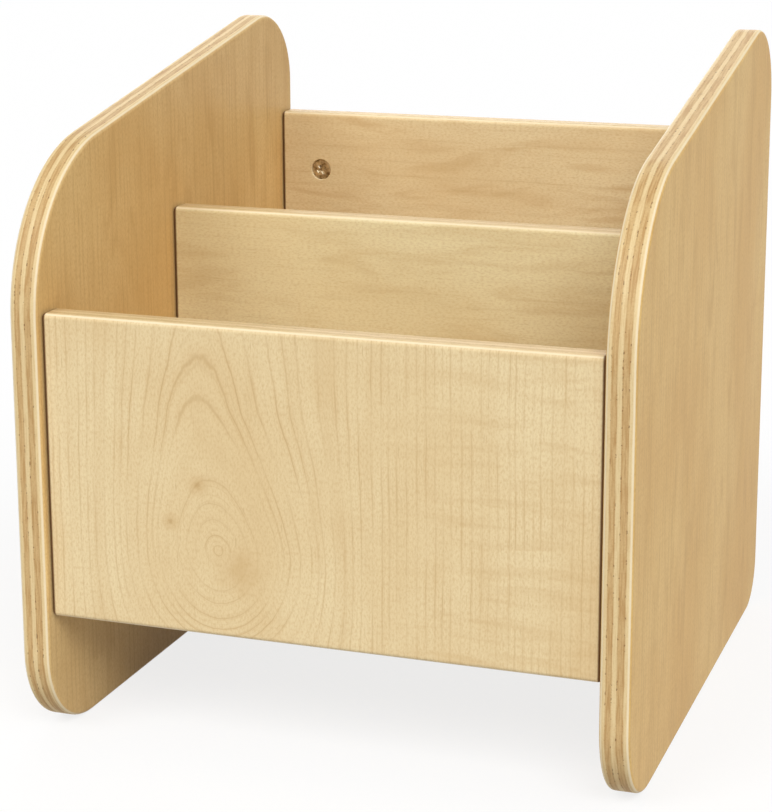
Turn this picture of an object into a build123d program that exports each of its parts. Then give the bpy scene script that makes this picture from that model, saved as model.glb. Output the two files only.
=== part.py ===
from build123d import *
from collections import namedtuple
import os

# Overall size and stock, in millimetres: X across, Y from front to back, Z up from the floor
WIDTH = 381.0
DEPTH = 400.0
BOARD = 18.0

# Side panels: a four-cornered board whose top edge climbs towards the back
FRONT_RISE = 350.0
BACK_RISE = 430.0
FRONT_TOP_RADIUS = 106.0
BACK_TOP_RADIUS = 50.0
FRONT_FOOT_RADIUS = 55.0
BACK_FOOT_RADIUS = 32.0
RIM_RADIUS = 3.0

# Cross panels: front, divider and back stand between the sides, with the floor low down
FRONT_SETBACK = 6.0
BACK_SETBACK = 2.0
DIVIDER_FACE = -11.0
PANEL_FOOT = 80.0
FRONT_TOP = 269.0
DIVIDER_TOP = 304.0
BACK_TOP = 346.0
FLOOR_LIFT = 4.0
LONG_EDGE_RADIUS = 3.0
END_EDGE_RADIUS = 2.5
FLOOR_EDGE_RADIUS = 0.8

# Cam fittings, each with a turning cam in the panel and a headed bolt in the side
CAM_INSET = 31.0
CAM_RADIUS = 7.4
CAM_BORE_RADIUS = 7.5
CAM_BORE_DEPTH = 13.5
CAM_BORE_CHAMFER = 0.5
CAM_SINK = 1.6
CAM_LENGTH = 11.6
CAM_RIM_RADIUS = 0.7
CAM_POCKET_RADIUS = 5.3
CAM_CAP = 3.4
CAM_SLOT = 5.6
CAM_SLOT_OVERRUN = 33.0
CAM_TURN = 180.0
CAM_MOUTH = 7.6
CROSS_LENGTH = 6.8
CROSS_WIDTH = 1.5
CROSS_HUB_RADIUS = 1.7
CROSS_DEPTH = 2.0
CROSS_CHAMFER = 0.35
CROSS_TURN = 30.0
UPPER_CAM_DROP = 42.5
LOWER_CAM_RISE = 26.0
FLOOR_CAM_MARGIN = 48.0

# Cam bolt, from its head inside the cam to its thread in the side
BOLT_BORE_RADIUS = 4.0
BOLT_HEAD_RADIUS = 3.5
BOLT_HEAD_BACK = -2.6
BOLT_HEAD_FRONT = 2.4
BOLT_NECK_RADIUS = 2.5
BOLT_NECK_END = 9.0
BOLT_SHAFT_RADIUS = 3.0
BOLT_COLLAR_RADIUS = 3.75
BOLT_COLLAR = 3.0
BOLT_THREAD = 11.0
BOLT_HOLE_RADIUS = 3.05
BOLT_HOLE_DEPTH = 11.5

# Dowel pegs that line each panel end up with its side
PEG_RADIUS = 4.0
PEG_IN_PANEL = 18.0
PEG_IN_SIDE = 11.0
PEG_TIP_CHAMFER = 0.8
PEG_HOLE_RADIUS = 4.05
PEG_HOLE_SPARE = 0.5

# Places that follow from the sizes above
PANEL_LENGTH = WIDTH - 2 * BOARD
FRONT_FACE = -DEPTH / 2 + FRONT_SETBACK
BACK_FACE = DEPTH / 2 - BACK_SETBACK
FLOOR_UNDERSIDE = PANEL_FOOT + FLOOR_LIFT
FLOOR_TOP = FLOOR_UNDERSIDE + BOARD
LOWER_CAM = FLOOR_TOP + LOWER_CAM_RISE
FLOOR_FRONT = FRONT_FACE + BOARD
FLOOR_BACK = BACK_FACE - BOARD
HANDS = {"left": -1, "right": 1}

# A cross panel: its corners on Y and Z, the way its cams face, and its cam and peg stations,
# which are heights on an upright panel and places along Y on the floor
Panel = namedtuple("Panel", "y_low y_high z_low z_high cam_normal stations pegs edge_radius")


def upright(face, foot, top, cam_normal):
    """Standing cross panel with a cam low down, a cam near its top edge and a peg between."""
    stations = {"lower": LOWER_CAM, "upper": top - UPPER_CAM_DROP}
    peg = sum(stations.values()) / len(stations)
    return Panel(face, face + BOARD, foot, top, cam_normal, stations, [peg], LONG_EDGE_RADIUS)


PANELS = {
    "front_panel": upright(FRONT_FACE, PANEL_FOOT, FRONT_TOP, (0, 1, 0)),
    "middle_divider": upright(DIVIDER_FACE, FLOOR_TOP, DIVIDER_TOP, (0, 1, 0)),
    "back_panel": upright(BACK_FACE - BOARD, PANEL_FOOT, BACK_TOP, (0, -1, 0)),
    "bottom_panel": Panel(
        FLOOR_FRONT,
        FLOOR_BACK,
        FLOOR_UNDERSIDE,
        FLOOR_TOP,
        (0, 0, -1),
        {"front": FLOOR_FRONT + FLOOR_CAM_MARGIN, "rear": FLOOR_BACK - FLOOR_CAM_MARGIN},
        [(FLOOR_FRONT + FLOOR_BACK) / 2],
        FLOOR_EDGE_RADIUS,
    ),
}


def across(edge):
    """True for an edge that lies in one plane square to X."""
    return edge.bounding_box().size.X < 1e-6


def bar(radius, start, end):
    """Round bar on the local X axis, between two stations."""
    return Pos((start + end) / 2, 0, 0) * Rot(0, 90, 0) * Cylinder(radius, end - start)


def side_blank(hand):
    """Side board with its four rounded corners and its rims eased all round."""
    corners = [
        (-DEPTH / 2, 0),
        (DEPTH / 2, 0),
        (DEPTH / 2, BACK_RISE),
        (-DEPTH / 2, FRONT_RISE),
    ]
    radii = [FRONT_FOOT_RADIUS, BACK_FOOT_RADIUS, BACK_TOP_RADIUS, FRONT_TOP_RADIUS]
    outline = make_face(FilletPolyline(*corners, radius=radii, close=True))
    inner_x = PANEL_LENGTH / 2 if hand > 0 else -WIDTH / 2
    board = Pos(inner_x, 0, 0) * extrude(Plane.YZ * outline, amount=BOARD)
    return fillet(board.edges().filter_by(across), RIM_RADIUS)


def panel_blank(panel):
    """Cross panel with its long edges and its end edges eased."""
    size_y = panel.y_high - panel.y_low
    size_z = panel.z_high - panel.z_low
    board = Box(PANEL_LENGTH, size_y, size_z)
    board = fillet(board.edges().filter_by(Axis.X), panel.edge_radius)
    board = fillet(board.edges().filter_by(across), min(END_EDGE_RADIUS, panel.edge_radius))
    centre = ((panel.y_low + panel.y_high) / 2, (panel.z_low + panel.z_high) / 2)
    return Pos(0, *centre) * board


def end_plane(panel, hand, station, inset):
    """Plane on the panel's cam face, set in from one end, with X towards the side board."""
    x = hand * (PANEL_LENGTH / 2 - inset)
    if panel.cam_normal[2]:
        origin = (x, station, panel.z_low)
    elif panel.cam_normal[1] > 0:
        origin = (x, panel.y_high, station)
    else:
        origin = (x, panel.y_low, station)
    return Plane(origin, x_dir=(hand, 0, 0), z_dir=panel.cam_normal)


def mid_board(shape):
    """Shift a shape from the panel's face to the middle of its thickness."""
    return Pos(0, 0, -BOARD / 2) * shape


def cam_seat():
    """Bore for the cam, its eased mouth, and the bolt's bore from the panel's end."""
    bore = Pos(0, 0, -CAM_BORE_DEPTH / 2) * Cylinder(CAM_BORE_RADIUS, CAM_BORE_DEPTH)
    mouth = Pos(0, 0, -CAM_BORE_CHAMFER / 2) * Cone(
        CAM_BORE_RADIUS, CAM_BORE_RADIUS + CAM_BORE_CHAMFER, CAM_BORE_CHAMFER
    )
    return bore + mouth + mid_board(bar(BOLT_BORE_RADIUS, 0, CAM_INSET))


def cam_lock():
    """Turning cam: cap with an eased cross recess, open pocket, wall slot for the bolt's neck, and the
    mouth on the far side that lets the bolt's head in."""
    bottom = -CAM_SINK - CAM_LENGTH
    body = Pos(0, 0, bottom + CAM_LENGTH / 2) * Cylinder(CAM_RADIUS, CAM_LENGTH)
    body = fillet(body.edges().sort_by(Axis.Z)[-1], CAM_RIM_RADIUS)
    pocket_height = CAM_LENGTH - CAM_CAP
    pocket = Pos(0, 0, bottom + pocket_height / 2) * Cylinder(CAM_POCKET_RADIUS, pocket_height)
    slot_sweep = CAM_TURN + 2 * CAM_SLOT_OVERRUN
    slot = Rot(0, 0, -CAM_TURN - CAM_SLOT_OVERRUN) * Cylinder(
        CAM_RADIUS + 1, CAM_SLOT, arc_size=slot_sweep
    )
    mouth = Pos(-CAM_RADIUS / 2 - 1, 0, bottom + pocket_height / 2) * Box(
        CAM_RADIUS + 2, CAM_MOUTH, pocket_height
    )
    recess = Cylinder(CROSS_HUB_RADIUS, CROSS_DEPTH)
    for turn in (0, 90):
        recess += Rot(0, 0, turn + CROSS_TURN) * Box(CROSS_LENGTH, CROSS_WIDTH, CROSS_DEPTH)
    body -= Pos(0, 0, -CAM_SINK - CROSS_DEPTH / 2) * recess
    cap = body.faces().sort_by(Axis.Z)[-1]
    body = chamfer(cap.inner_wires()[0].edges(), CROSS_CHAMFER)
    return body - pocket - mid_board(slot) - mouth


def cam_bolt():
    """Bolt with its head in the cam, a collar at the panel's end and a thread in the side."""
    bolt = bar(BOLT_HEAD_RADIUS, BOLT_HEAD_BACK, BOLT_HEAD_FRONT)
    bolt += bar(BOLT_NECK_RADIUS, BOLT_HEAD_FRONT, BOLT_NECK_END)
    bolt += bar(BOLT_SHAFT_RADIUS, BOLT_NECK_END, CAM_INSET + BOLT_THREAD)
    bolt += bar(BOLT_COLLAR_RADIUS, CAM_INSET - BOLT_COLLAR, CAM_INSET)
    return mid_board(bolt)


def bolt_hole():
    """Blind hole in the side board for the bolt's thread."""
    return mid_board(bar(BOLT_HOLE_RADIUS, CAM_INSET, CAM_INSET + BOLT_HOLE_DEPTH))


def peg():
    """Dowel peg across the joint, with both tips chamfered."""
    plain = bar(PEG_RADIUS, -PEG_IN_PANEL, PEG_IN_SIDE)
    return mid_board(chamfer(plain.edges().filter_by(across), PEG_TIP_CHAMFER))


def peg_hole():
    """Blind holes for a peg, facing each other in the panel's end and the side board."""
    return mid_board(
        bar(PEG_HOLE_RADIUS, -PEG_IN_PANEL - PEG_HOLE_SPARE, PEG_IN_SIDE + PEG_HOLE_SPARE)
    )


sides = {hand: side_blank(sign) for hand, sign in HANDS.items()}
nodes = {}
cam_axes = {}

for name, panel in PANELS.items():
    short = name.split("_")[0]
    board = panel_blank(panel)
    bolts = []
    pegs = []
    for hand, sign in HANDS.items():
        for station, place in panel.stations.items():
            plane = end_plane(panel, sign, place, CAM_INSET)
            cam_name = f"{short}_cam_{hand}_{station}"
            nodes[cam_name] = plane * cam_lock()
            cam_axes[cam_name] = (tuple(plane.origin), panel.cam_normal)
            bolts.append(plane * cam_bolt())
            board -= plane * cam_seat()
            sides[hand] -= plane * bolt_hole()
        for place in panel.pegs:
            plane = end_plane(panel, sign, place, 0)
            pegs.append(plane * peg())
            board -= plane * peg_hole()
            sides[hand] -= plane * peg_hole()
    nodes[name] = board
    nodes[f"{short}_cam_bolts"] = Compound(children=bolts)
    nodes[f"{short}_dowels"] = Compound(children=pegs)

for hand in HANDS:
    nodes[f"{hand}_side_panel"] = sides[hand]

os.makedirs("parts", exist_ok=True)
for name, shape in nodes.items():
    export_step(shape, f"parts/{name}.step")
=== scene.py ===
import math
from collections import namedtuple

import bpy
from mathutils import Color, Matrix, Vector


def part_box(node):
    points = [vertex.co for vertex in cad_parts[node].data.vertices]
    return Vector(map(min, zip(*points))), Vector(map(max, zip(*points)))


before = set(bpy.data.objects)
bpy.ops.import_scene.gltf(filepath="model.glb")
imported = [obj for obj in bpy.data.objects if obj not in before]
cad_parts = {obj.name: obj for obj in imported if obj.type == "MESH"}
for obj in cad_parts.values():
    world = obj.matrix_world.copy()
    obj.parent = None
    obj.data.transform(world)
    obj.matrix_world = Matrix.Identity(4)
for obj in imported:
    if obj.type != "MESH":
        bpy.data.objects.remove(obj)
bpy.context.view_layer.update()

# Photograph frame and the camera fitted to the bin's edges, in pixels, metres and degrees, with its sensor
# in millimetres
PHOTO_WIDTH = 772
PHOTO_HEIGHT = 812
FOCAL_PIXELS = 2150.8
LENS_AXIS_PIXEL = (453.5, 311.5)
CAMERA_PLACE = (0.4443, -1.3005, 0.5413)
CAMERA_YAW = -18.016
CAMERA_PITCH = -12.272
CAMERA_ROLL = 0.184
SENSOR_WIDTH = 36.0

# Soft lamps, placed by azimuth, from the front towards the right, and elevation, with the angle that
# their light spreads over, all in degrees
Lamp = namedtuple("Lamp", "azimuth elevation spread strength")
LAMPS = {
    "right_light": Lamp(azimuth=32, elevation=42, spread=30, strength=1.58),
    "left_light": Lamp(azimuth=-28, elevation=42, spread=30, strength=1.18),
    "side_light": Lamp(azimuth=75, elevation=38, spread=50, strength=0.55),
    "back_light": Lamp(azimuth=200, elevation=16, spread=40, strength=0.85),
}

# Floor, in metres, and surroundings. Both are white where they are seen. The grey and the strength are for
# the light that they throw on the bin.
WHITE = (1.0, 1.0, 1.0, 1.0)
FLOOR_HALF = 25.0
FLOOR_GREY = (0.55, 0.55, 0.55, 1.0)
FLOOR_WHITE = (0.98, 0.98, 0.98, 1.0)
FLOOR_GLOW_SHARE = 0.8
SURROUND_STRENGTH = 0.24

# Soft step of a value, from start at low to end at high
Fade = namedtuple("Fade", "low high start end", defaults=(0.0, 1.0))

# Noise with its repeats per metre in two or three directions. The step keeps the textures of one face apart.
Texture = namedtuple("Texture", "scales detail roughness distortion step", defaults=(3.0, 0.5, 0.0, 0.0))
NOISE_MIDDLE = 0.5

# Axes of the bin's frame, in order
AXES = "XYZ"

# Painted shade: a dark line where a panel meets a side, standing in for the shadow in the groove of the
# rounded ends, its width in metres
JOINT_SHADE = 0.0029
JOINT_FADE = Fade(0.6 * JOINT_SHADE, JOINT_SHADE, 0.92, 0.0)

# Veneer of the faces: textures with their repeats across and along the grain
TONE = Texture((11, 6))
TONE_FADE = Fade(0.3, 0.7)
BANDS = Texture((60, 3), step=3.0)
BAND_FADE = Fade(0.5, 0.8, 0.0, 0.4)
CLOUDS = Texture((60, 13), roughness=0.55, distortion=0.8, step=7.0)
CLOUD_FADE = Fade(0.46, 0.74)
MOTTLE = Texture((900, 420), roughness=0.6)
MOTTLE_FADE = Fade(0.38, 0.75, 0.0, 0.46)
PORES = Texture((1300, 90), detail=1.0, step=9.0)
PORE_FADE = Fade(0.66, 0.8)
PORE_SHARE = 0.3
CURL = Texture((18, 125), detail=2.0, distortion=0.6, step=13.0)
CURL_FADE = Fade(0.42, 0.75)

# Growth lines of the veneer: their wander in metres, and line widths in shares of the spacing
WOBBLE = Texture((18, 10), detail=2.0)
WOBBLE_SIZE = 0.0035
SHAKE = Texture((160, 50), detail=2.0, step=1.0)
SHAKE_SIZE = 0.0012
RING_OFFSET = 1.0
LINE_UNEVENNESS = 0.85
LINE_STRENGTH = Texture((75, 20), step=5.0)
LINE_STRENGTH_FADE = Fade(0.32, 0.7, 0.1, 1.0)
SOFT_LINE = Fade(0.0, 0.3, 1.0, 0.0)
SOFT_SHARE = 0.3
SHARP_LINE = Fade(0.0, 0.07, 1.0, 0.0)
SHARP_SHARE = 0.42
FINE_LINE = Fade(0.0, 0.13, 1.0, 0.0)
FINE_SHARE = 0.16
FINE_PER_LINE = 2.3
FINE_OFFSET = 0.37

# Figure of the front panel's veneer: an eye with arches above it and straight lines beside it, in metres,
# and the curl that grows stronger towards the right
EYE_X = -0.0607
EYE_Z = 0.134
EYE_REACH = 0.055
EYE_LEAN = -0.13
LEAN_HEIGHT = 0.085
LEAN_FADE = Fade(0.4 * EYE_REACH, 1.7 * EYE_REACH, 1.0, 0.0)
ARCH_REACH = 0.065
FOOT_SQUEEZE = 0.78
STRAIGHT_START = 0.5 * EYE_REACH
STRAIGHT_FADE = Fade(0.0, 2.0 * EYE_REACH, 1.0, 0.0)
CURL_PLACE = Fade(0.02, 0.1, 0.15, 1.0)

# Marks beside the eye, a tan smudge and two pin knots: their middle, size and raggedness in metres,
# fades in shares of their size, and the texture of their rims with its repeats per raggedness
Mark = namedtuple("Mark", "x z size rag")
SMUDGE = Mark(x=-0.0477, z=0.1224, size=0.021, rag=0.02)
SMUDGE_FADE = Fade(0.0, 1.0, 0.5, 0.0)
PIN_KNOTS = (
    Mark(x=-0.0732, z=0.1726, size=0.0042, rag=0.004),
    Mark(x=-0.0914, z=0.1486, size=0.0034, rag=0.004),
)
KNOT_HALO = Fade(0.2, 2.4, 0.45, 0.0)
KNOT_CORE = Fade(0.0, 0.8, 0.35, 0.0)
RAGS = Texture((2, 2), detail=2.0)

# Ply edges, measured through the board in shares of its thickness: the face veneer, the pale rims beside it,
# which are paler sanded wood with a painted highlight on the rounded edges, the seams between plies, the
# glue in each seam, and how much the plies differ
FACE_VENEER = 0.05
EDGE_FADE = Fade(0.75 * FACE_VENEER, FACE_VENEER)
RIM_START = Fade(0.5 * FACE_VENEER, FACE_VENEER)
RIM_END = Fade(0.07, 0.12, 0.72, 0.0)
PLY_SEAMS = (0.21, 0.40, 0.575, 0.79)
SEAM_BLUR = 0.016
SEAM_WAVE = 0.05
GLUE_FADE = Fade(0.006, 0.034, 1.0, 0.0)
GLUE_SHARES = (0.35, 0.4, 0.85, 0.75)
PANEL_CONTRAST = 0.42
SIDE_CONTRAST = 0.85

# Textures of the ply edges, with their repeats along each axis, and the fades that they give each ply
WAVE = Texture((32, 32, 32), detail=2.0)
GRIT = Texture((850, 850, 850), roughness=0.6)
DRIFT = Texture((60, 60, 60))
VOIDS = Texture((330, 330, 330), detail=2.0, roughness=0.7)
STREAKS = Texture((50, 50, 50), roughness=0.6)
STREAK_FINENESS = 17.0
PALE_GRIT = Fade(0.4, 0.8, 0.0, 0.35)
PALE_STREAKS = Fade(0.45, 0.7, 0.0, 0.55)
TAN_DRIFT = Fade(0.35, 0.65)
TAN_GRIT = Fade(0.4, 0.75, 0.0, 0.5)
TAN_STREAKS = Fade(0.42, 0.62, 0.0, 0.85)
GLUE_DRIFT = Fade(0.3, 0.7, 0.15, 1.0)
GLUE_VOIDS = Fade(0.57, 0.66)

# Satin lacquer over the boards: roughness, gloss, and relief with its depth in metres
BOARD_ROUGHNESS = 0.46
EDGE_ROUGHNESS = 0.1
HEIGHT_ROUGHNESS = 0.08
LACQUER_COAT = 0.08
LACQUER_GLOSS = 0.12
COAT_ROUGHNESS = 0.22
MOTTLE_HEIGHT = 0.5
PORE_HEIGHT = -0.6
LINE_HEIGHT = -0.3
GRIT_HEIGHT = 0.8
BOARD_RELIEF = 0.00006

# Cams, bolts and dowels: textures with their repeats along each axis, and relief in metres
ZINC_SKIN = Texture((1400, 1400, 1400))
ZINC_STAIN = Texture((300, 300, 300), detail=2.0)
ZINC_STAIN_FADE = Fade(0.35, 0.7)
ZINC_ROUGHNESS = Fade(0.2, 0.8, 0.28, 0.46)
ZINC_RELIEF = 0.00008
TURNING_MARKS = Texture((2500, 200, 200), detail=2.0)
TURNING_SHARE = 0.4
STEEL_ROUGHNESS = Fade(0.2, 0.8, 0.22, 0.4)
STEEL_RELIEF = 0.00003
BEECH_FLECKS = Texture((180, 1600, 1600))
BEECH_FLECK_FADE = Fade(0.4, 0.75)
BEECH_ROUGHNESS = 0.6
BEECH_RELIEF = 0.00006


def srgb(red, green, blue):
    """Linear colour of an 8-bit display colour."""
    display = Color((red / 255, green / 255, blue / 255))
    return (*display.from_srgb_to_scene_linear(), 1.0)


# Colours of the wood and of the metal, with the painted highlight of the rims and the painted shade at the
# joints
MAPLE_LINE = srgb(178, 136, 82)
MAPLE_DEEP = srgb(205, 170, 118)
RIM_PALE_AND_HIGHLIGHT = srgb(249, 234, 201)
PLY_PALE = srgb(227, 203, 154)
PLY_TAN = srgb(206, 173, 121)
PLY_BROWN = srgb(179, 137, 83)
GLUE = srgb(112, 72, 36)
JOINT_PAINTED_SHADE = srgb(92, 56, 26)
ZINC = srgb(222, 208, 180)
ZINC_DARK = srgb(138, 116, 86)
STEEL = srgb(205, 205, 200)
BEECH = srgb(222, 188, 140)
BEECH_DARK = srgb(190, 150, 100)

# Tones of the maple veneer: pale, middle, deep and line. The sides have a deeper tan of their own. The rest
# is painted light: the divider's copy is paler and less orange to offset the shade and orange bounce in its
# pocket, and the left and right sides' copies differ only to offset how light and glare fall on each
MAPLE = (srgb(236, 216, 172), srgb(227, 202, 155), MAPLE_DEEP, MAPLE_LINE)
DIVIDER_MAPLE_PAINTED_LIGHT = (srgb(239, 225, 180), srgb(230, 211, 163), srgb(207, 177, 124), MAPLE_LINE)
LEFT_MAPLE_PAINTED_LIGHT = (srgb(236, 204, 143), srgb(226, 189, 126), srgb(202, 158, 97), MAPLE_LINE)
RIGHT_MAPLE_PAINTED_LIGHT = (srgb(239, 202, 129), srgb(229, 186, 111), srgb(203, 154, 84), MAPLE_LINE)

# Veneer of one board: its tones, a seed, the strength of its lines, clouds and curl, and the spacing of its
# growth lines in metres
Figure = namedtuple("Figure", "tones seed lines clouds curl spacing")
FRONT_FIGURE = Figure(MAPLE, seed=2.0, lines=0.82, clouds=0.12, curl=0.3, spacing=0.0054)
DIVIDER_FIGURE = Figure(DIVIDER_MAPLE_PAINTED_LIGHT, seed=21.0, lines=0.26, clouds=0.42, curl=0.0, spacing=0.009)
BACK_FIGURE = Figure(MAPLE, seed=37.0, lines=0.32, clouds=0.55, curl=0.0, spacing=0.009)
BOTTOM_FIGURE = Figure(MAPLE, seed=51.0, lines=0.4, clouds=0.3, curl=0.1, spacing=0.009)
LEFT_FIGURE = Figure(LEFT_MAPLE_PAINTED_LIGHT, seed=63.0, lines=0.75, clouds=0.38, curl=0.08, spacing=0.006)
RIGHT_FIGURE = LEFT_FIGURE._replace(tones=RIGHT_MAPLE_PAINTED_LIGHT, seed=75.0)

# Board: its axes through the thickness, along the face grain and across it, its veneer, the contrast of its
# ply edges, whether its ends meet the sides and so get the painted joint shade, and whether its face shows
# the eye
PANEL_DEFAULTS = (PANEL_CONTRAST, True, False)
Board = namedtuple("Board", "material axes figure contrast jointed eye", defaults=PANEL_DEFAULTS)
BOARDS = {
    "front_panel": Board("front_maple_ply", "YZX", FRONT_FIGURE, eye=True),
    "middle_divider": Board("divider_maple_ply", "YXZ", DIVIDER_FIGURE),
    "back_panel": Board("back_maple_ply", "YXZ", BACK_FIGURE),
    "bottom_panel": Board("bottom_maple_ply", "ZXY", BOTTOM_FIGURE),
    "left_side_panel": Board("left_maple_ply", "XZY", LEFT_FIGURE, SIDE_CONTRAST, jointed=False),
    "right_side_panel": Board("right_maple_ply", "XZY", RIGHT_FIGURE, SIDE_CONTRAST, jointed=False),
}


class Shader:
    """Short hand for building the node tree of a material or of the surroundings."""

    def __init__(self, owner):
        owner.use_nodes = True
        self.owner = owner
        self.tree = owner.node_tree
        self.tree.nodes.clear()

    def node(self, kind, inputs=(), **settings):
        """New node with its settings, and with its inputs by name or number."""
        made = self.tree.nodes.new("ShaderNode" + kind)
        for key, value in settings.items():
            setattr(made, key, value)
        for key, value in dict(inputs).items():
            self.feed(made.inputs[key], value)
        return made

    def feed(self, socket, value):
        """Link a socket to another one, or give it a constant."""
        if isinstance(value, bpy.types.NodeSocket):
            self.tree.links.new(value, socket)
        else:
            socket.default_value = value

    def math(self, operation, *values):
        return self.node("Math", enumerate(values), operation=operation).outputs[0]

    def add(self, *values):
        total = values[0]
        for value in values[1:]:
            total = self.math("ADD", total, value)
        return total

    def minus(self, first, second):
        return self.math("SUBTRACT", first, second)

    def times(self, *values):
        total = values[0]
        for value in values[1:]:
            total = self.math("MULTIPLY", total, value)
        return total

    def fade(self, value, fade, share=1.0):
        """Soft step of a value. The share scales both of its ends."""
        inputs = {0: value, 1: fade.low, 2: fade.high, 3: fade.start * share, 4: fade.end * share}
        return self.node("MapRange", inputs, interpolation_type="SMOOTHSTEP").outputs[0]

    def noise(self, texture, place, seed=0.0):
        """Noise from 0 to 1 at a place. Where the place has two directions, the seed is the third."""
        point = [self.times(value, scale) for value, scale in zip(place, texture.scales)]
        if len(point) == 2:
            point.append(seed + texture.step)
        inputs = {
            "Vector": self.node("CombineXYZ", enumerate(point)).outputs[0],
            "Scale": 1.0,
            "Detail": texture.detail,
            "Roughness": texture.roughness,
            "Distortion": texture.distortion,
        }
        return self.node("TexNoise", inputs).outputs[0]

    def swing(self, noise, amount):
        """Noise centred on zero."""
        return self.times(self.minus(noise, NOISE_MIDDLE), amount)

    def lines(self, value, per_metre):
        """Distance to the nearest of many unevenly spaced lines along a value, in shares of the spacing."""
        inputs = {"W": value, "Scale": per_metre, "Randomness": LINE_UNEVENNESS}
        node = self.node("TexVoronoi", inputs, voronoi_dimensions="1D", feature="DISTANCE_TO_EDGE")
        return node.outputs["Distance"]

    def mix(self, share, first, second):
        """Blend of two colours, with the share of the second."""
        inputs = {0: share, 6: first, 7: second}
        return self.node("Mix", inputs, data_type="RGBA").outputs[2]

    def place(self):
        """The three coordinates of a point, in the bin's own frame."""
        coordinates = self.node("TexCoord").outputs["Object"]
        split = self.node("SeparateXYZ", {0: coordinates})
        return split.outputs[0], split.outputs[1], split.outputs[2]

    def surface(self, colour, roughness, height, relief, coat=0.0, gloss=0.5, metal=0.0):
        """Finished material with a relief of the given depth in metres."""
        bump = self.node("Bump", {"Height": height, "Distance": relief, "Strength": 1.0})
        inputs = {
            "Base Color": colour,
            "Roughness": roughness,
            "Metallic": metal,
            "Normal": bump.outputs[0],
            "Specular IOR Level": gloss,
            "Coat Weight": coat,
            "Coat Roughness": COAT_ROUGHNESS,
        }
        shown = self.node("BsdfPrincipled", inputs)
        self.feed(self.node("OutputMaterial").inputs["Surface"], shown.outputs[0])
        return self.owner


def growth_lines(sh, figure, ring, along, colour):
    """Soft, sharp and fine growth lines over a colour, and the strength of the sharp ones."""
    _, _, deep, line = figure.tones
    strength = sh.fade(sh.noise(LINE_STRENGTH, (ring, along), figure.seed), LINE_STRENGTH_FADE)
    off_line = sh.lines(ring, 1 / figure.spacing)
    off_fine = sh.lines(sh.add(ring, FINE_OFFSET), FINE_PER_LINE / figure.spacing)
    soft = sh.times(sh.fade(off_line, SOFT_LINE), strength)
    sharp = sh.times(sh.fade(off_line, SHARP_LINE), strength)
    fine = sh.times(sh.fade(off_fine, FINE_LINE), strength)
    colour = sh.mix(sh.times(soft, SOFT_SHARE * figure.lines), colour, deep)
    colour = sh.mix(sh.times(sharp, SHARP_SHARE * figure.lines), colour, line)
    colour = sh.mix(sh.times(fine, FINE_SHARE * figure.lines), colour, line)
    return colour, sharp


def veneer(sh, figure, ring, face, curl_gate):
    """Colour and height of a face veneer: tones, bands, clouds, growth lines, mottle, pores and curl.
    The face is a pair of coordinates across and along the grain."""
    pale, mid, deep, line = figure.tones
    along = face[1]
    colour = sh.mix(sh.fade(sh.noise(TONE, face, figure.seed), TONE_FADE), pale, mid)
    bands = sh.noise(BANDS, (ring, along), figure.seed)
    colour = sh.mix(sh.fade(bands, BAND_FADE, figure.lines), colour, deep)
    clouds = sh.noise(CLOUDS, face, figure.seed)
    colour = sh.mix(sh.fade(clouds, CLOUD_FADE, figure.clouds), colour, deep)
    colour, sharp = growth_lines(sh, figure, ring, along, colour)
    mottle = sh.noise(MOTTLE, face, figure.seed)
    colour = sh.mix(sh.fade(mottle, MOTTLE_FADE), colour, deep)
    pores = sh.fade(sh.noise(PORES, face, figure.seed), PORE_FADE)
    colour = sh.mix(sh.times(pores, PORE_SHARE), colour, line)
    curl = sh.fade(sh.noise(CURL, face, figure.seed), CURL_FADE)
    colour = sh.mix(sh.times(curl, curl_gate, figure.curl), colour, deep)
    layers = ((mottle, MOTTLE_HEIGHT), (pores, PORE_HEIGHT), (sharp, LINE_HEIGHT))
    height = sh.add(*(sh.times(layer, weight) for layer, weight in layers))
    return colour, height


def eye_figure(sh, x, z):
    """Growth-line value of a flat-cut veneer: ovals round an eye, arches above, straight beside."""
    rise = sh.minus(z, EYE_Z)
    above = sh.math("MAXIMUM", rise, 0.0)
    below = sh.math("MAXIMUM", sh.times(rise, -1.0), 0.0)
    aside = sh.math("ABSOLUTE", sh.minus(x, EYE_X))
    lean = sh.times(sh.math("MINIMUM", above, LEAN_HEIGHT), sh.fade(aside, LEAN_FADE), EYE_LEAN)
    side = sh.minus(x, sh.add(EYE_X, lean))
    tall = sh.math("DIVIDE", above, sh.add(1.0, sh.times(above, 1 / ARCH_REACH)))
    upright = sh.add(tall, sh.times(below, FOOT_SQUEEZE))
    beyond = sh.math("MAXIMUM", sh.minus(sh.math("ABSOLUTE", side), STRAIGHT_START), 0.0)
    upright = sh.times(upright, sh.fade(beyond, STRAIGHT_FADE))
    return sh.math("SQRT", sh.add(sh.times(side, side), sh.times(upright, upright)))


def eye_marks(sh, x, z, colour):
    """Tan smudge beside the eye and small brown pin knots, all with ragged rims."""
    def away(mark):
        wide = sh.minus(x, mark.x)
        tall = sh.minus(z, mark.z)
        reach = sh.math("SQRT", sh.add(sh.times(wide, wide), sh.times(tall, tall)))
        scales = [repeats / mark.rag for repeats in RAGS.scales]
        ragged = sh.swing(sh.noise(RAGS._replace(scales=scales), (x, z)), mark.rag)
        return sh.times(sh.add(reach, ragged), 1 / mark.size)
    colour = sh.mix(sh.fade(away(SMUDGE), SMUDGE_FADE), colour, MAPLE_DEEP)
    for knot in PIN_KNOTS:
        reach = away(knot)
        colour = sh.mix(sh.fade(reach, KNOT_HALO), colour, MAPLE_DEEP)
        colour = sh.mix(sh.fade(reach, KNOT_CORE), colour, MAPLE_LINE)
    return colour


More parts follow.
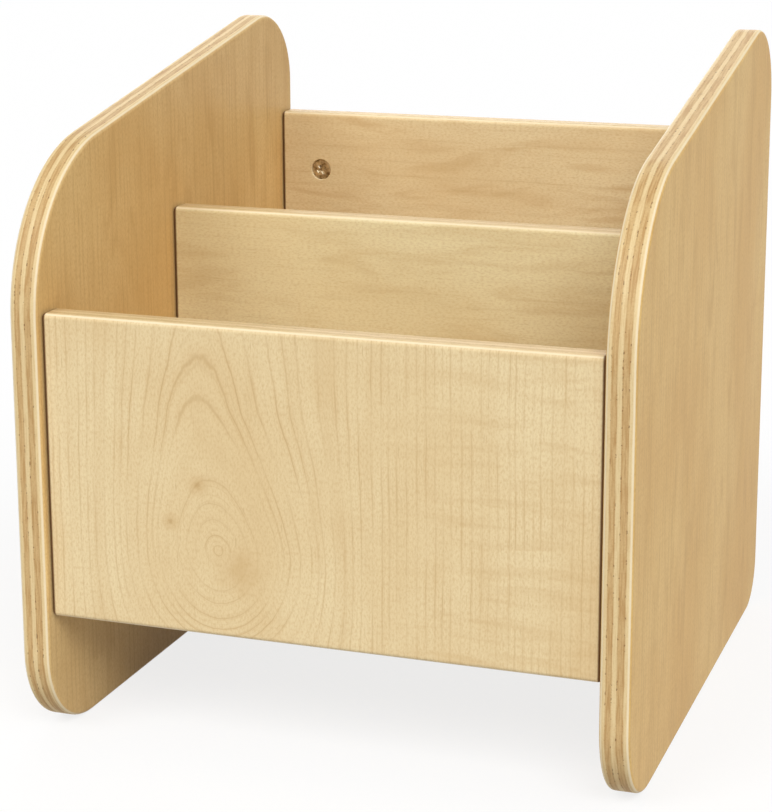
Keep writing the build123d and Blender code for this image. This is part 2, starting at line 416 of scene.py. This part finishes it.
def board_face(sh, board, place):
    """Colour and height of a board's faces. The growth lines run straight, or round the eye."""
    x, _, z = place
    _, along, across = (place[AXES.index(axis)] for axis in board.axes)
    face = (across, along)
    wobble = sh.swing(sh.noise(WOBBLE, face, board.figure.seed), WOBBLE_SIZE)
    shake = sh.swing(sh.noise(SHAKE, face, board.figure.seed), SHAKE_SIZE)
    ring = eye_figure(sh, x, z) if board.eye else across
    ring = sh.add(ring, wobble, shake, RING_OFFSET)
    curl_gate = sh.fade(x, CURL_PLACE) if board.eye else 1.0
    colour, height = veneer(sh, board.figure, ring, face, curl_gate)
    if board.eye:
        colour = eye_marks(sh, x, z, colour)
    return colour, height


def plies(sh, depth, place, through, contrast):
    """Colour and grit of a sanded plywood edge: alternating plies with long streaks, faint glue lines
    and small dark voids."""
    depth = sh.add(depth, sh.swing(sh.noise(WAVE, place), SEAM_WAVE))
    grit = sh.noise(GRIT, place)
    drift = sh.noise(DRIFT, place)
    voids = sh.noise(VOIDS, place)
    scales = list(STREAKS.scales)
    scales[through] *= STREAK_FINENESS
    streaks = sh.noise(STREAKS._replace(scales=scales), place)
    pale = sh.mix(sh.fade(grit, PALE_GRIT), PLY_PALE, MAPLE_DEEP)
    pale = sh.mix(sh.fade(streaks, PALE_STREAKS), pale, MAPLE_DEEP)
    tan = sh.mix(sh.fade(drift, TAN_DRIFT), PLY_TAN, MAPLE_DEEP)
    tan = sh.mix(sh.fade(grit, TAN_GRIT), tan, PLY_BROWN)
    tan = sh.mix(sh.fade(streaks, TAN_STREAKS), tan, PLY_BROWN)
    steps = [sh.fade(depth, Fade(seam - SEAM_BLUR, seam + SEAM_BLUR)) for seam in PLY_SEAMS]
    crosswise = sh.add(sh.minus(steps[0], steps[1]), sh.minus(steps[2], steps[3]))
    colour = sh.mix(sh.times(crosswise, contrast), pale, tan)
    for seam, share in zip(PLY_SEAMS, GLUE_SHARES):
        glue = sh.fade(sh.math("ABSOLUTE", sh.minus(depth, seam)), GLUE_FADE, contrast)
        colour = sh.mix(sh.times(glue, sh.fade(drift, GLUE_DRIFT), share), colour, PLY_BROWN)
        colour = sh.mix(sh.times(glue, sh.fade(voids, GLUE_VOIDS), (1 + share) / 2), colour, GLUE)
    return colour, grit


def board_material(node, board):
    """Lacquered plywood board: veneer on its faces, plies on its edges, pale rims that carry a painted
    highlight, and painted shade at the joints.
    """
    sh = Shader(bpy.data.materials.new(board.material))
    place = sh.place()
    through = AXES.index(board.axes[0])
    low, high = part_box(node)
    thickness = high[through] - low[through]
    depth = sh.times(sh.minus(place[through], low[through]), 1 / thickness)
    from_face = sh.math("MINIMUM", depth, sh.minus(1.0, depth))
    is_edge = sh.fade(from_face, EDGE_FADE)
    face, height = board_face(sh, board, place)
    edge, grit = plies(sh, depth, place, through, board.contrast)
    colour = sh.mix(is_edge, face, edge)
    # Pale rims on the rounded edges: paler sanded wood together with a painted highlight
    rim_pale_and_highlight = sh.times(sh.fade(from_face, RIM_START), sh.fade(from_face, RIM_END))
    colour = sh.mix(rim_pale_and_highlight, colour, RIM_PALE_AND_HIGHLIGHT)
    # Painted shade: darker brown towards each end that meets a side, standing in for the shadow in the
    # groove there
    if board.jointed:
        from_side = sh.minus(high.x, sh.math("ABSOLUTE", place[0]))
        colour = sh.mix(sh.fade(from_side, JOINT_FADE), colour, JOINT_PAINTED_SHADE)
    edge_roughness = sh.times(is_edge, EDGE_ROUGHNESS)
    roughness = sh.add(BOARD_ROUGHNESS, edge_roughness, sh.times(height, HEIGHT_ROUGHNESS))
    height = sh.add(height, sh.times(is_edge, grit, GRIT_HEIGHT))
    return sh.surface(colour, roughness, height, BOARD_RELIEF, coat=LACQUER_COAT, gloss=LACQUER_GLOSS)


def zinc_material():
    """Die-cast zinc with a fine cast skin and dark stains."""
    sh = Shader(bpy.data.materials.new("die_cast_zinc"))
    place = sh.place()
    skin = sh.noise(ZINC_SKIN, place)
    stain = sh.noise(ZINC_STAIN, place)
    colour = sh.mix(sh.fade(stain, ZINC_STAIN_FADE), ZINC, ZINC_DARK)
    return sh.surface(colour, sh.fade(skin, ZINC_ROUGHNESS), skin, ZINC_RELIEF, metal=1.0)


def steel_material():
    """Plated steel with faint turning marks."""
    sh = Shader(bpy.data.materials.new("plated_steel"))
    marks = sh.noise(TURNING_MARKS, sh.place())
    colour = sh.mix(sh.times(marks, TURNING_SHARE), STEEL, ZINC)
    return sh.surface(colour, sh.fade(marks, STEEL_ROUGHNESS), marks, STEEL_RELIEF, metal=1.0)


def dowel_material():
    """Raw beech with short flecks along the peg."""
    sh = Shader(bpy.data.materials.new("raw_beech"))
    flecks = sh.noise(BEECH_FLECKS, sh.place())
    colour = sh.mix(sh.fade(flecks, BEECH_FLECK_FADE), BEECH, BEECH_DARK)
    return sh.surface(colour, BEECH_ROUGHNESS, flecks, BEECH_RELIEF)


def dress(node, material):
    """Give a node's object one material."""
    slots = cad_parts[node].data.materials
    slots.clear()
    slots.append(material)


def dress_fittings():
    """Give the bolts, dowels and cams their materials."""
    steel = steel_material()
    beech = dowel_material()
    zinc = zinc_material()
    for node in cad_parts:
        if node.endswith("_cam_bolts"):
            dress(node, steel)
        elif node.endswith("_dowels"):
            dress(node, beech)
        elif "_cam_" in node:
            dress(node, zinc)


def make_camera():
    """Camera at the photograph's viewing angle, with the small shift that its framing needs."""
    yaw, pitch, roll = (math.radians(angle) for angle in (CAMERA_YAW, CAMERA_PITCH, CAMERA_ROLL))
    forward = Vector((math.sin(yaw) * math.cos(pitch), math.cos(yaw) * math.cos(pitch), math.sin(pitch)))
    level = Vector((math.cos(yaw), -math.sin(yaw), 0.0))
    upward = level.cross(forward)
    right = math.cos(roll) * level + math.sin(roll) * upward
    top = -math.sin(roll) * level + math.cos(roll) * upward
    data = bpy.data.cameras.new("camera")
    data.sensor_width = SENSOR_WIDTH
    data.lens = FOCAL_PIXELS * SENSOR_WIDTH / PHOTO_HEIGHT
    data.shift_x = (PHOTO_WIDTH / 2 - LENS_AXIS_PIXEL[0]) / PHOTO_HEIGHT
    data.shift_y = (LENS_AXIS_PIXEL[1] - PHOTO_HEIGHT / 2) / PHOTO_HEIGHT
    camera = bpy.data.objects.new("camera", data)
    turn = Matrix((right, top, -forward)).transposed().to_4x4()
    camera.matrix_world = Matrix.Translation(CAMERA_PLACE) @ turn
    bpy.context.scene.collection.objects.link(camera)
    bpy.context.scene.camera = camera


def seen_share(sh):
    """One for rays that show the background itself: camera, glossy and transmission rays."""
    path = sh.node("LightPath").outputs
    share = sh.math("MAXIMUM", path["Is Camera Ray"], path["Is Glossy Ray"])
    return sh.math("MAXIMUM", share, path["Is Transmission Ray"])


def floor_material():
    """White where it is seen, apart from a light shadow of the bin, and grey as a source of light."""
    sh = Shader(bpy.data.materials.new("white_floor"))
    seen = seen_share(sh)
    paint = sh.mix(seen, FLOOR_GREY, FLOOR_WHITE)
    diffuse = sh.node("BsdfDiffuse", {"Color": paint}).outputs[0]
    glow = sh.node("Emission", {"Color": WHITE, "Strength": 1.0}).outputs[0]
    mixed = sh.node("MixShader", {0: sh.times(seen, FLOOR_GLOW_SHARE), 1: diffuse, 2: glow}).outputs[0]
    sh.feed(sh.node("OutputMaterial").inputs["Surface"], mixed)
    return sh.owner


def make_floor():
    """Plain white floor under the bin."""
    near_left = (-FLOOR_HALF, -FLOOR_HALF, 0.0)
    near_right = (FLOOR_HALF, -FLOOR_HALF, 0.0)
    far_right = (FLOOR_HALF, FLOOR_HALF, 0.0)
    far_left = (-FLOOR_HALF, FLOOR_HALF, 0.0)
    mesh = bpy.data.meshes.new("floor")
    mesh.from_pydata([near_left, near_right, far_right, far_left], [], [(0, 1, 2, 3)])
    mesh.materials.append(floor_material())
    floor = bpy.data.objects.new("floor", mesh)
    bpy.context.scene.collection.objects.link(floor)


def make_world():
    """Even white surroundings: full white where seen, softer as light."""
    sh = Shader(bpy.data.worlds.new("studio"))
    soft = sh.node("Background", {"Color": WHITE, "Strength": SURROUND_STRENGTH}).outputs[0]
    white = sh.node("Background", {"Color": WHITE, "Strength": 1.0}).outputs[0]
    mixed = sh.node("MixShader", {0: seen_share(sh), 1: soft, 2: white}).outputs[0]
    sh.feed(sh.node("OutputWorld").inputs["Surface"], mixed)
    bpy.context.scene.world = sh.owner


def make_lamp(name, lamp):
    """Even soft light from far away."""
    turn = math.radians(lamp.azimuth)
    rise = math.radians(lamp.elevation)
    source = Vector((math.sin(turn) * math.cos(rise), -math.cos(turn) * math.cos(rise), math.sin(rise)))
    data = bpy.data.lights.new(name, "SUN")
    data.angle = math.radians(lamp.spread)
    data.energy = lamp.strength
    light = bpy.data.objects.new(name, data)
    light.rotation_euler = (-source).to_track_quat("-Z", "Y").to_euler()
    bpy.context.scene.collection.objects.link(light)


for node, board in BOARDS.items():
    dress(node, board_material(node, board))
dress_fittings()

make_camera()
make_floor()
make_world()
for name, lamp in LAMPS.items():
    make_lamp(name, lamp)
bpy.context.scene.view_settings.view_transform = "Standard"
